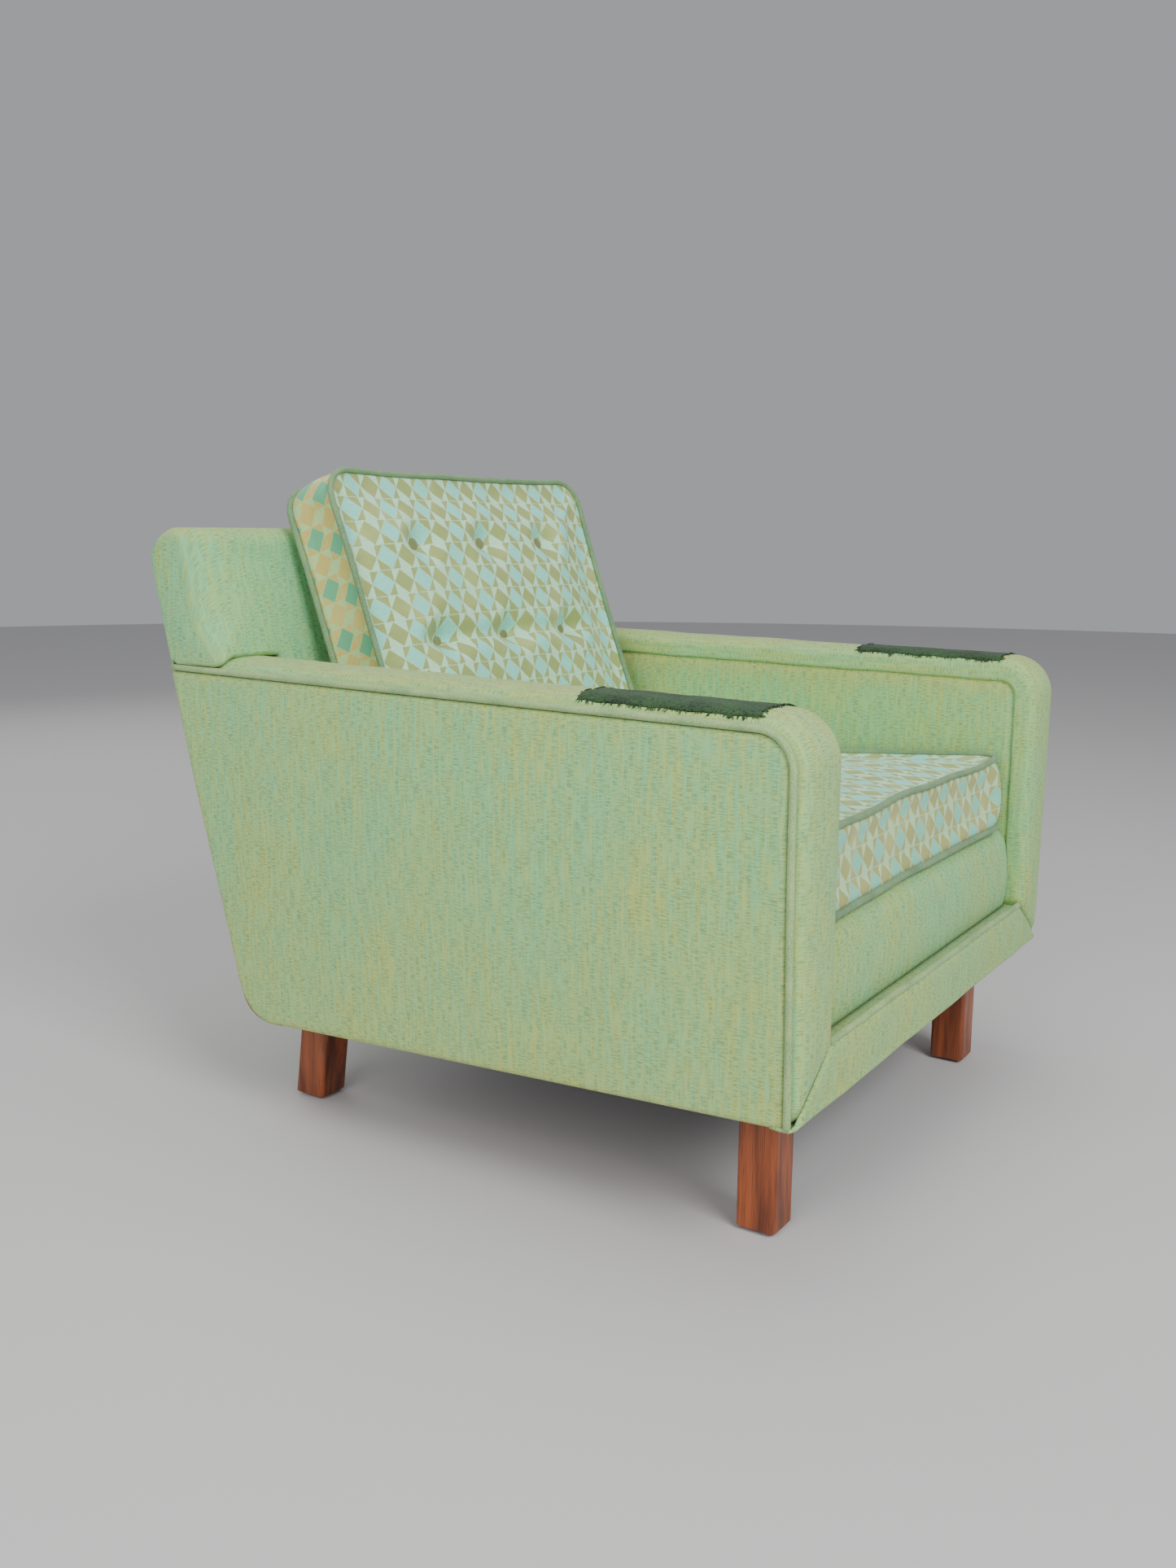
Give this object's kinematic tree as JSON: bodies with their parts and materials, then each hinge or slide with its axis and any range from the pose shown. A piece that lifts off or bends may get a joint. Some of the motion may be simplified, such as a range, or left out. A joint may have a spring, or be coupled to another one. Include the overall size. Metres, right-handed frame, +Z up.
{
  "type": "upholstered armchair",
  "caption": "Low lounge chair with boxy upholstered arms, a raked back, square timber legs and loose piped seat and back cushions.",
  "frame": {"origin": "on the floor, in the middle of the chair's width and depth", "axes": "+Z up; the chair faces -Y; +X is to the right of somebody who looks at the chair's front"},
  "size_m": [0.74, 0.8067, 0.7391],
  "materials": {
    "body_cloth": "plain two-tone mint weave",
    "welt_cloth": "cloth-covered piping",
    "cushion_cloth": "aqua and gold geometric jacquard",
    "patch_cloth": "coarse dark green wool",
    "teak": "satin oiled",
    "beech": "sawn",
    "hardboard": "matt",
    "steel": "plain",
    "nylon": "matt",
    "padding": "foam and cotton felt",
    "jute": "coarse",
    "dust_cloth": "thin black cloth"
  },
  "bodies": {
    "chair": {"apron_panel": "body_cloth", "apron_welt": "welt_cloth", "arm_border_left": "body_cloth", "arm_border_right": "body_cloth", "arm_pad_left": "padding", "arm_pad_right": "padding", "arm_patch_left": "patch_cloth", "arm_patch_right": "patch_cloth", "arm_rail_left": "beech", "arm_rail_right": "beech", "back_lower_rail": "beech", "back_pad": "padding", "back_top_rail": "beech", "back_webbing": "jute", "corner_blocks": "beech", "deck_cover": "body_cloth", "deck_pad": "padding", "dust_cover": "dust_cloth", "dust_cover_tacks": "steel", "front_post_left": "beech", "front_post_right": "beech", "front_rail": "beech", "front_roll_pad": "padding", "inside_arm_cover_left": "body_cloth", "inside_arm_cover_right": "body_cloth", "inside_back_cover": "body_cloth", "leg_bolts": "steel", "leg_front_left": "teak", "leg_front_right": "teak", "leg_glides": "nylon", "leg_rear_left": "teak", "leg_rear_right": "teak", "outside_back_cover": "body_cloth", "platform_cover": "body_cloth", "rear_post_left": "beech", "rear_post_right": "beech", "rear_rail": "beech", "seat_springs": "steel", "side_board_left": "hardboard", "side_board_right": "hardboard", "side_panel_left": "body_cloth", "side_panel_right": "body_cloth", "side_rail_left": "beech", "side_rail_right": "beech", "side_welt_left": "welt_cloth", "side_welt_right": "welt_cloth", "spring_clips": "steel"},
    "seat_cushion": {"seat_cushion_bottom": "cushion_cloth", "seat_cushion_boxing": "cushion_cloth", "seat_cushion_core": "padding", "seat_cushion_top": "cushion_cloth", "seat_cushion_welts": "welt_cloth", "seat_cushion_zip": "nylon"},
    "back_cushion": {"back_cushion_boxing": "cushion_cloth", "back_cushion_buttons": "body_cloth", "back_cushion_core": "padding", "back_cushion_front": "cushion_cloth", "back_cushion_rear": "cushion_cloth", "back_cushion_welts": "welt_cloth", "button_twines": "jute"}
  },
  "joints": [
    {"name": "seat_cushion_pull", "type": "slide", "parent": "chair", "child": "seat_cushion", "axis": [0, -0.9976, 0.0698], "range_m": [0, 0.62]},
    {"name": "back_cushion_lift", "type": "slide", "parent": "chair", "child": "back_cushion", "axis": [0, 0.3371, 0.9415], "range_m": [0, 0.42]}
  ]
}
